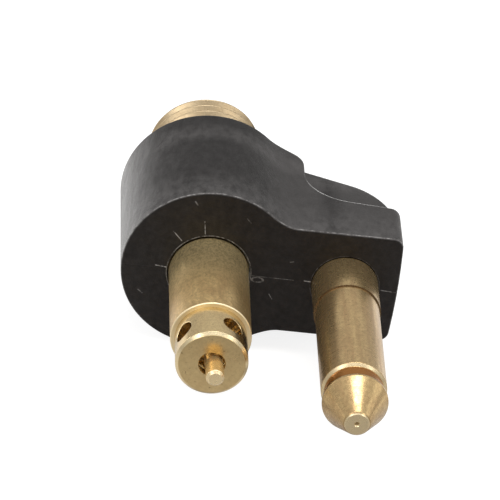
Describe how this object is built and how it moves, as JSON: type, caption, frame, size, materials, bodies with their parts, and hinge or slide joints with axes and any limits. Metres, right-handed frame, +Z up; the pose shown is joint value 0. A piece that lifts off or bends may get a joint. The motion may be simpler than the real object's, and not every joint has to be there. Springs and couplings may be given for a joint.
{
  "type": "fuel line connector",
  "caption": "Male quick connector for an outboard motor's fuel line: moulded body, threaded brass fuel tube with a valved nose, and a longer brass guide pin.",
  "frame": {"origin": "where the fuel tube's axis leaves the housing's front face", "axes": "both prongs point along -Y and the pipe thread along +Y, +X runs from the fuel prong to the guide pin, +Z is up"},
  "size_m": [0.0313, 0.0578, 0.0198],
  "materials": {
    "moulded_plastic": "satin black moulding with a fine texture",
    "brass": "turned, slightly tarnished",
    "seal_rubber": "matte",
    "spring_steel": "drawn wire"
  },
  "bodies": {
    "connector_body": {"housing": "moulded_plastic", "fuel_tube": "brass", "valve_nose": "brass", "valve_spring": "spring_steel", "guide_pin": "brass"},
    "valve": {"valve_pin": "brass", "poppet": "brass", "poppet_seal": "seal_rubber"}
  },
  "joints": [
    {"name": "valve_travel", "type": "slide", "parent": "connector_body", "child": "valve", "axis": [0, 1, 0], "range_m": [0, 0.0025], "stiffness_N_per_m": 800, "springref_m": -0.0025, "deforming": ["valve_spring"]}
  ]
}
